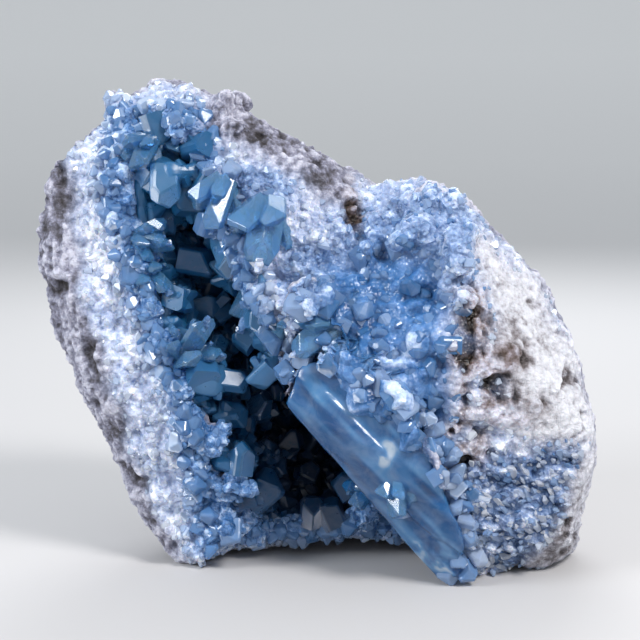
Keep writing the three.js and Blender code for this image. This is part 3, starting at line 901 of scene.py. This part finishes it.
def rock_material():
    """Crust, milky mass, broken ground, rind and rust, mixed by what the mesh says of each point."""
    material, tree, shader, _ = new_material("celestite_rock")
    mass, rind = attribute(tree, "clear"), attribute(tree, "rind")
    shade = reckoned(tree, "SUBTRACT", noise(tree, ROCK_GRAIN, detail=4, roughness=0.65), 0.5)
    shade = reckoned(tree, "MULTIPLY", shade, spread_of(tree, mass, 1.7, 0.9))
    # The mesh's shading value darkens the colours low in the relief and lightens them on its crests:
    # painted shade and painted light
    tone_and_relief_shading = reckoned(tree, "ADD", attribute(tree, "tone_and_relief_shading"), shade)
    color = ramp(tree, tone_and_relief_shading, ROCK_COLORS["crust"])
    for kind in ("inner", "clear", "broken", "rind", "bright", "rust"):
        color = mixed(tree, attribute(tree, kind), color, ramp(tree, tone_and_relief_shading, ROCK_COLORS[kind]))
    tree.links.new(color, shader.inputs["Base Color"])
    gloss = reckoned(tree, "SUBTRACT", spread_of(tree, rind, 0.26, 0.8), spread_of(tree, mass, 0, 0.12))
    tree.links.new(gloss, shader.inputs["Roughness"])
    tree.links.new(spread_of(tree, rind, 0.3, 0.05), shader.inputs["Subsurface Weight"])
    shader.inputs["Subsurface Radius"].default_value = (0.35, 0.65, 1.0)
    shader.inputs["Subsurface Scale"].default_value = 0.003
    cells = texture(tree, "ShaderNodeTexVoronoi", "Distance", Scale=ROCK_CELLS)
    crystalline = reckoned(tree, "MULTIPLY", cells, spread_of(tree, rind, 1, 0.6))
    fibrous = noise(tree, ROCK_FIBRES, detail=5, roughness=0.65)
    fibrous = reckoned(tree, "MULTIPLY", fibrous, spread_of(tree, rind, 0.8, 3))
    bumps = reckoned(tree, "ADD", crystalline, fibrous)
    bumps = reckoned(tree, "MULTIPLY", bumps, spread_of(tree, mass, 1, 0.5))
    bumped(tree, shader, bumps, 0.8, ROCK_BUMP)
    return material


def crystal_material(name):
    """Clear to milky crystal, with the looks that are listed under its name."""
    looks = CRYSTAL_LOOKS[name]
    material, tree, shader, output = new_material(name)
    # A higher depth gives a darker colour; deep in the hollow this is painted shade
    color = ramp(tree, attribute(tree, "depth"), looks.colors)
    milkiness = [(0.4, 0, 0, 0), (0.75, *(looks.milkiness,) * 3)]
    clouds = ramp(tree, noise(tree, 160, detail=6, distortion=0.6), milkiness)
    pale = mixed(tree, 0.5, color, MILK_COLOR)
    tree.links.new(mixed(tree, clouds, color, pale), shader.inputs["Base Color"])
    shader.inputs["Transmission Weight"].default_value = looks.transmission
    shader.inputs["IOR"].default_value = CELESTITE_IOR
    shader.inputs["Specular IOR Level"].default_value = looks.shine
    tree.links.new(spread_of(tree, noise(tree, 300), *looks.roughness), shader.inputs["Roughness"])
    bumped(tree, shader, noise(tree, 900, detail=6), 0.12, 0.0002)
    volume = tree.nodes.new("ShaderNodeVolumeAbsorption")
    volume.inputs["Color"].default_value = (*looks.kept, 1)
    volume.inputs["Density"].default_value = looks.density
    tree.links.new(volume.outputs["Volume"], output.inputs["Volume"])
    return material


# The pieces


def carried(piece, slot, *nodes):
    """Lets a piece ride on the geode, and hides the nodes that it replaces. The slot is not used."""
    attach(piece, "root")
    if nodes:
        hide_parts(*nodes)


def crystal_piece(name, material, mesh, slot, *nodes, sharp=CRYSTAL_SHARP):
    """A piece of crystal. The mesh is its points, its faces and the depth that colours each point."""
    points, faces, depth = mesh
    piece = mesh_object(name, inside_box(points), faces, crystal_material(material), {"depth": depth})
    smooth_but_for_edges(piece, sharp)
    carried(piece, slot, *nodes)


def crystal_body(foot, tip, width, thickness):
    """The corners of a rough body of a great crystal, from which the rock is kept out."""
    foot, tip = np.array(foot, float) + SOURCE_ORIGIN, np.array(tip, float) + SOURCE_ORIGIN
    turn = turned(tip - foot, 0)
    height = np.linalg.norm(tip - foot)
    corners = []
    for share, size in ((-0.1, 0.8), (0.7, 1.25), (1.15, 0.9)):
        for x, y in ((1, 0), (0, 1), (-1, 0), (0, -1)):
            side = (x * width / 2 * size, y * thickness / 2 * size, share * height)
            corners.append(foot + turn @ np.array(side))
    return np.array(corners)


def rock():
    """The geode's body. Returns its points, their directions out and their zones."""
    distance, low = distance_grid("geode_wall", ROCK_VOXEL)
    thicken_back(distance, low)
    distance = blurred(distance, ROCK_BLUR)
    broad = blurred(distance, FACING_BLUR)
    bodies = [crystal_body(*crystal) for crystal in CLEAR_CRYSTALS]
    for corners, (_, _, _, thickness) in zip(bodies, CLEAR_CRYSTALS):
        core = CARVED_CORE * thickness
        carve(distance, low, corners, lambda points: core)
    carve(
        distance,
        low,
        BLOCK,
        lambda points: BLOCK_CLEARNESS * block_clearness(points),
        lambda points: CARVED_BELOW_BLOCK * (1 - soft_step(above_block_edge(points), -1, 1)),
    )
    points, faces = surface_of(distance, low, ROCK_VOXEL)
    outward = outward_at(distance, low, ROCK_VOXEL, points)
    zone = zones(points, outward_at(broad, low, ROCK_VOXEL, points))
    # The relief, and the painted shade and light that follow it
    height, zone["tone_and_relief_shading"] = relief(points, zone)
    for corners in bodies:
        height *= soft_step(depth_in(points, corners), 0, 1)
    height *= 1 - block_clearness(points) * (1 - soft_step(np.abs(depth_in(points, BLOCK)), 0.2, 1.6))
    shown = inside_box(points + height[:, None] * outward)
    piece = mesh_object("geode_rock", shown, faces, rock_material(), zone)
    hidden = (hollow_margin(points) < -0.5) & (points[:, 1] > -20)
    thin_out(piece, ROCK_TRIANGLES, np.where(hidden, 1, soft_step(outward[:, 1], -0.1, 0.2) * 0.5))
    smooth_but_for_edges(piece, ROCK_SHARP)
    carried(piece, "massive_celestite", "geode_wall")
    return shown, outward, zone


def towards_hollow(points, outward):
    """Which points of the lining look into the hollow."""
    own = points - SOURCE_ORIGIN
    x = np.interp(own[:, 2], HOLLOW_LEVELS[:, 0], HOLLOW_LEVELS[:, 1])
    back = own[:, 1] - HOLLOW_Y
    across = own[:, 0] - x - HOLLOW_SLANT * back
    middle = 0.5 * (HOLLOW_LEVELS[0, 0] + HOLLOW_LEVELS[-1, 0])
    inward = -np.stack([across, back, 0.25 * (own[:, 2] - middle)], 1)
    inward /= np.maximum(np.linalg.norm(inward, axis=1, keepdims=True), 1e-6)
    return (inward * outward).sum(1) > 0.25


def hollow_shade(points):
    """From 0 near the mouth of the hollow to 1 at its back, and more towards the hollow's floor. The
    crystals there are coloured darker by it, as painted shade.
    """
    low = 0.4 * soft_step(70 - points[:, 2], 0, 50)
    back = (points[:, 1] - HOLLOW_MOUTH_Y) / (HOLLOW_BACK_Y - HOLLOW_MOUTH_Y)
    return np.clip(0.3 + 0.7 * back + low, 0, 1)


def lining(rng, forms, fine_forms):
    """The crust of the hollow: one body with the crystals on it."""
    distance, low = distance_grid("crystal_lining", LINING_VOXEL)
    points, faces = surface_of(blurred(distance, 2), low, LINING_VOXEL)
    outward = outward_at(distance, low, LINING_VOXEL, points)
    seen = towards_hollow(points, outward)
    swell = 3 * facets(points, 8, 71) + 1.5 * facets(points, 4.5, 78) - 1.6
    points = points + np.where(seen, swell, 0)[:, None] * outward
    triangles = np.concatenate([faces[:, [0, 1, 2]], faces[:, [0, 2, 3]]])
    # The lining is painted darker deeper in the hollow, as painted shade
    depth = hollow_shade(points)
    parts = [(points, triangles, depth)]
    for kind, own_forms in (("deep", forms), ("between", fine_forms)):
        at = feet_on(points, seen, kind, rng)
        heights = random_heights(kind, len(at), rng)
        parts.append(planted(kind, own_forms, points[at], outward[at], heights, depth[at], rng))
    mesh = together(parts)
    crystal_piece("hollow_crystals", "hollow_crystal", mesh, "blue_crystal", "crystal_lining")


def along_line(corners, spacing):
    """Points at even steps along a line through the corners."""
    steps = np.linalg.norm(np.diff(corners, axis=0), axis=1)
    run = np.concatenate([[0], np.cumsum(steps)])
    at = np.arange(0, run[-1], spacing)
    return np.stack([np.interp(at, run, corners[:, axis]) for axis in range(3)], 1)


def seam(rng, forms):
    """The crystals that climb on the great block along its seam."""
    feet = along_line(BLOCK_SEAM, HABITS["seam"].apart)
    feet = feet + rng.normal(0, SEAM_SCATTER, feet.shape)
    normals = np.tile(SEAM_OUTWARD, (len(feet), 1))
    heights = random_heights("seam", len(feet), rng)
    depth = rng.uniform(0.25, 0.75, len(feet))
    return planted("seam", forms, feet, normals, heights, depth, rng)


def face_druse(rng, forms, fine_forms, points, outward, zone):
    """The crystals of the broken face: teeth beside the hollow, blocks, splinters, a seam and sugar."""
    bare = np.max([zone[kind] for kind in ("rind", "rust", "bright")], 0)
    on_block = block_clearness(points) * (depth_in(points, BLOCK) < 0.2)
    ground = (outward[:, 1] < -0.1) & (bare < 0.5) & (on_block < 0.1)

    rim = ground & (beside_hollow(points) > 0.15) & (points[:, 2] > 5)
    rim &= (hollow_margin(points) > -1) & (outward[:, 1] < -0.3)
    at = feet_on(points, rim, "teeth", rng)
    inner = zone["inner"][at]
    heights = random_heights("teeth", len(at), rng, inner)
    # Teeth are deeper blue near the hollow: their own colour, and painted shade towards the hollow
    depth = np.clip(0.1 + 0.65 * inner + rng.uniform(-0.15, 0.15, len(at)), 0, 1)
    teeth = planted("teeth", forms, points[at], outward[at], heights, depth, rng)

    crust = ground & (zone["clear"] < 0.5) & (zone["broken"] < 0.4) & (rng.random(len(points)) < 0.4)
    at = feet_on(points, crust, "sugar", rng)
    heights = random_heights("sugar", len(at), rng)
    # Sugar is deeper blue near the hollow: its own colour, and painted shade towards the hollow
    depth = np.clip(0.1 + zone["inner"][at] * 0.6 + rng.uniform(-0.12, 0.15, len(at)), 0, 1)
    sugar = planted("sugar", fine_forms, points[at], outward[at], heights, depth, rng)

    at = feet_on(points, ground & (zone["clear"] > 0.4), "blocks", rng)
    heights = random_heights("blocks", len(at), rng)
    depth = rng.uniform(0.45, 1, len(at))
    blocks = planted("blocks", forms, points[at], outward[at], heights, depth, rng)

    at = feet_on(points, ground & (zone["broken"] > 0.3), "splinters", rng)
    heights = random_heights("splinters", len(at), rng)
    depth = rng.uniform(0, 0.75, len(at)) ** 1.5
    leaning = 0.5 * outward[at] + SPLINTER_DIRECTION
    splinters = planted("splinters", fine_forms, points[at], leaning, heights, depth, rng)

    mesh = together([teeth, sugar, blocks, splinters, seam(rng, forms)])
    crystal_piece("face_crystals", "pale_crystal", mesh, "massive_celestite")


def great_crystals(rng, forms):
    """The clear crystals: each is a bundle of blocky crystals that grew side by side."""
    grown = []
    for foot, tip, width, thickness in CLEAR_CRYSTALS:
        foot, tip = np.array(foot) + SOURCE_ORIGIN, np.array(tip) + SOURCE_ORIGIN
        length = np.linalg.norm(tip - foot)
        body = turned(tip - foot, 0)
        for n in range(CRYSTALS_IN_BUNDLE):
            main = n == 0
            points, faces = forms[rng.integers(len(forms))]
            turn = 2 * math.pi * n / CRYSTALS_IN_BUNDLE
            share = 0.85 if main else rng.uniform(0.45, 0.65)
            reach = length * (0.9 if main else rng.uniform(0.45, 0.65))
            aside, leaning = np.zeros(3), body[:, 2]
            if not main:
                aside = np.array((math.cos(turn) * width, math.sin(turn) * thickness, 0)) * 0.3
                leaning = leaning + 0.7 * body @ np.array((math.cos(turn), math.sin(turn), 0))
            size = (share * width, share * thickness * 1.15, reach)
            placed = (points * size) @ turned(leaning, rng.uniform(-0.5, 0.5)).T + foot + body @ aside
            # Crystals in the hollow are painted darker the deeper they stand, as painted shade
            grown.append((placed, faces, hollow_shade(placed) * (hollow_margin(placed) < 2)))
    crystal_piece("clear_crystals", "clear_crystal", together(grown), "blue_crystal")


def cleavage_block():
    """The great block: clear along its long edge, and sinking into the milky lobe above that."""
    first, last = cells_round(BLOCK, BLOCK_VOXEL, 2)
    cells = cell_points(first, last, BLOCK_VOXEL)
    distance = depth_in(cells, BLOCK) + BLOCK_SUNK * (1 - block_clearness(cells))
    near = np.abs(distance) < 3
    spots = cells[near]
    steps = soft_step(lumps(spots @ STREAK_TURN, 4, 83), 0.1, 0.25)
    steps *= soft_step(rough(spots, 15, 84), -0.3, 0.1)
    distance[near] += BLOCK_STEP * steps + 0.25 * (rough(spots, 9, 86) + 1)
    points, faces = surface_of(blurred(distance, 1), first, BLOCK_VOXEL)
    streaks = lumps(points @ STREAK_TURN, 1.8, 88) * soft_step(lumps(points, 9, 89), -0.5, 0.2)
    frost = patches(wandering(points, 5, 9, 71), FROSTY_PATCHES)
    frost *= soft_step(rough(points, 4, 79), -0.4, 0.3)
    depth = 0.6 + 0.25 * rough(points, 12, 87) + 0.4 * streaks - 0.6 * frost
    mesh = (points, faces, depth)
    crystal_piece("cleavage_block", "azure_crystal", mesh, "blue_crystal", sharp=BLOCK_SHARP)


# The stage


def floor_material():
    """Pale matt grey, lighter with the distance from the geode: painted shade near it, where the lamps
    light it most, and painted light far off, where they reach it less.
    """
    material, tree, shader, _ = new_material("floor")
    place = tree.nodes.new("ShaderNodeTexCoord")
    far = tree.nodes.new("ShaderNodeVectorMath")
    far.operation = "LENGTH"
    tree.links.new(place.outputs["Object"], far.inputs[0])
    share = tree.nodes.new("ShaderNodeMapRange")
    share.inputs["From Min"].default_value, share.inputs["From Max"].default_value = FLOOR_COLOR_REACH
    tree.links.new(far.outputs["Value"], share.inputs["Value"])
    tree.links.new(ramp(tree, share.outputs["Result"], FLOOR_COLORS), shader.inputs["Base Color"])
    shader.inputs["Roughness"].default_value = FLOOR_ROUGHNESS
    return material


def floor():
    """A pale floor that curves up into a wall all round, far away."""
    points, faces = [(0, 0, 0)], []
    for radius, height in FLOOR_RINGS:
        for n in range(FLOOR_SIDES):
            turn = 2 * math.pi * n / FLOOR_SIDES
            points.append((radius * math.cos(turn), radius * math.sin(turn), height))
    for n in range(FLOOR_SIDES):
        after = (n + 1) % FLOOR_SIDES
        faces.append((0, 1 + n, 1 + after))
        for ring in range(len(FLOOR_RINGS) - 1):
            inside = 1 + ring * FLOOR_SIDES
            outside = inside + FLOOR_SIDES
            faces.append((inside + n, outside + n, outside + after, inside + after))
    mesh = bpy.data.meshes.new("floor")
    mesh.from_pydata(points, [], faces)
    mesh.polygons.foreach_set("use_smooth", np.ones(len(faces), bool))
    mesh.materials.append(floor_material())
    linked("floor", mesh)


def lights():
    """Three soft lamps and a pale surrounding."""
    for name, place, watts, width, color in LAMPS:
        light = bpy.data.lights.new(name, "AREA")
        light.energy = watts
        light.size = width
        light.color = color
        made = linked(name, light)
        made.location = place
        made.rotation_euler = (LIT_PLACE - Vector(place)).to_track_quat("-Z", "Y").to_euler()
    world = bpy.data.worlds.new("studio")
    world.use_nodes = True
    surrounding = world.node_tree.nodes["Background"]
    surrounding.inputs["Color"].default_value = SURROUNDING_LIGHT
    surrounding.inputs["Strength"].default_value = SURROUNDING_STRENGTH
    bpy.context.scene.world = world
    bpy.context.scene.view_settings.view_transform = "Standard"


def camera():
    """Looks at the broken face from the photo's angle."""
    elevation = math.radians(CAMERA_ELEVATION)
    target = Vector(SOURCE_ORIGIN + (0, 0, CAMERA_TARGET_Z)) * MM
    back = Vector((0, -math.cos(elevation), math.sin(elevation)))
    data = bpy.data.cameras.new("camera")
    data.lens = CAMERA_LENS
    data.sensor_width = CAMERA_SENSOR
    data.clip_start = 0.01
    made = linked("camera", data)
    made.location = target + back * CAMERA_DISTANCE
    made.rotation_euler = (-back).to_track_quat("-Z", "Y").to_euler()
    bpy.context.scene.camera = made


def main():
    """Makes the stage, then the pieces. They take their random numbers in this order."""
    camera()
    lights()
    floor()
    rng = np.random.default_rng(SEED)
    forms = [crystal_form(rng, rounding=0.04) for _ in range(14)]
    fine_forms = [crystal_form(rng) for _ in range(14)]
    sharp_forms = [crystal_form(rng, rounding=0.015) for _ in range(8)]
    points, outward, zone = rock()
    face_druse(rng, forms, fine_forms, points, outward, zone)
    great_crystals(rng, sharp_forms)
    cleavage_block()
    lining(rng, forms, fine_forms)


main()
